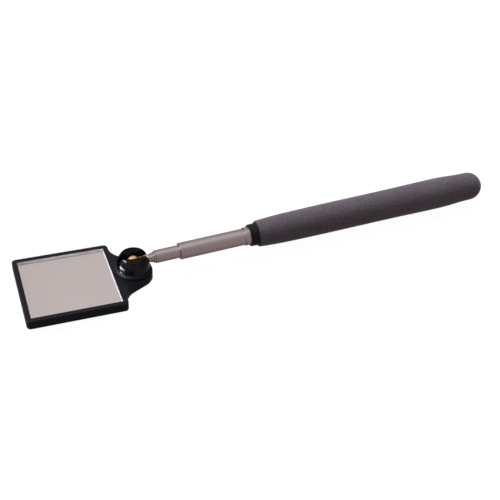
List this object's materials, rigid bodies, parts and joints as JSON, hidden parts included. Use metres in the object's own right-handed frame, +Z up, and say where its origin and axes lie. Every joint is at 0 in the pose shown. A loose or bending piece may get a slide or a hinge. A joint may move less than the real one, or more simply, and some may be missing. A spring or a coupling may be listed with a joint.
{
  "type": "telescoping inspection mirror",
  "caption": "Square mirror in a black frame on a slotted ball joint, carried by a telescoping rod of nested tubes that slides out of a long foam-covered handle.",
  "frame": {"origin": "centre of the footprint of the closed part, at the height of its lowest point, the lower edge of the mirror's tab", "axes": "+X along the rod from the mirror to the handle's closed end, +Z up out of the mirror's face, +Y across"},
  "size_m": [0.267, 0.0512, 0.0194],
  "materials": {
    "black_plastic": "satin moulded plastic",
    "mirror_glass": "back-silvered glass",
    "foam_tape": "foam mounting tape",
    "brass": "polished brass",
    "spring_bronze": "drawn spring bronze",
    "nickel": "satin nickel plating",
    "black_core": "black moulded plastic",
    "grey_foam": "fine matt grey foam"
  },
  "bodies": {
    "handle": {"grip": "grey_foam", "handle_core": "black_core", "end_plug": "black_core", "tube_6": "nickel"},
    "section_5": {"tube_5": "nickel", "tail_bush_5": "brass", "friction_shims_5": "spring_bronze"},
    "section_4": {"tube_4": "nickel", "tail_bush_4": "brass", "friction_shims_4": "spring_bronze"},
    "section_3": {"tube_3": "nickel", "tail_bush_3": "brass", "friction_shims_3": "spring_bronze"},
    "section_2": {"tube_2": "nickel", "tail_bush_2": "brass", "friction_shims_2": "spring_bronze"},
    "section_1": {"tube_1": "nickel", "tail_bush_1": "brass", "friction_shims_1": "spring_bronze"},
    "ball_stud": {"ball_stud": "brass"},
    "head": {"mirror_frame": "black_plastic", "mirror_glass": "mirror_glass", "mirror_pad": "foam_tape"}
  },
  "joints": [
    {"name": "section_5_slide", "type": "slide", "parent": "handle", "child": "section_5", "axis": [-1, 0, 0], "range_m": [0, 0.1034]},
    {"name": "section_4_slide", "type": "slide", "parent": "section_5", "child": "section_4", "axis": [-1, 0, 0], "range_m": [0, 0.1333]},
    {"name": "section_3_slide", "type": "slide", "parent": "section_4", "child": "section_3", "axis": [-1, 0, 0], "range_m": [0, 0.1405]},
    {"name": "section_2_slide", "type": "slide", "parent": "section_3", "child": "section_2", "axis": [-1, 0, 0], "range_m": [0, 0.1356]},
    {"name": "section_1_slide", "type": "slide", "parent": "section_2", "child": "section_1", "axis": [-1, 0, 0], "range_m": [0, 0.1308]},
    {"name": "stud_turn", "type": "hinge", "parent": "section_1", "child": "ball_stud", "pos_m": [-0.07405, 0, 0.01078], "axis": [1, 0, 0], "continuous": true},
    {"name": "head_tilt", "type": "hinge", "parent": "ball_stud", "child": "head", "pos_m": [-0.07405, 0, 0.01078], "axis": [0, 1, 0], "range_deg": [-8.65, 176.35]}
  ]
}
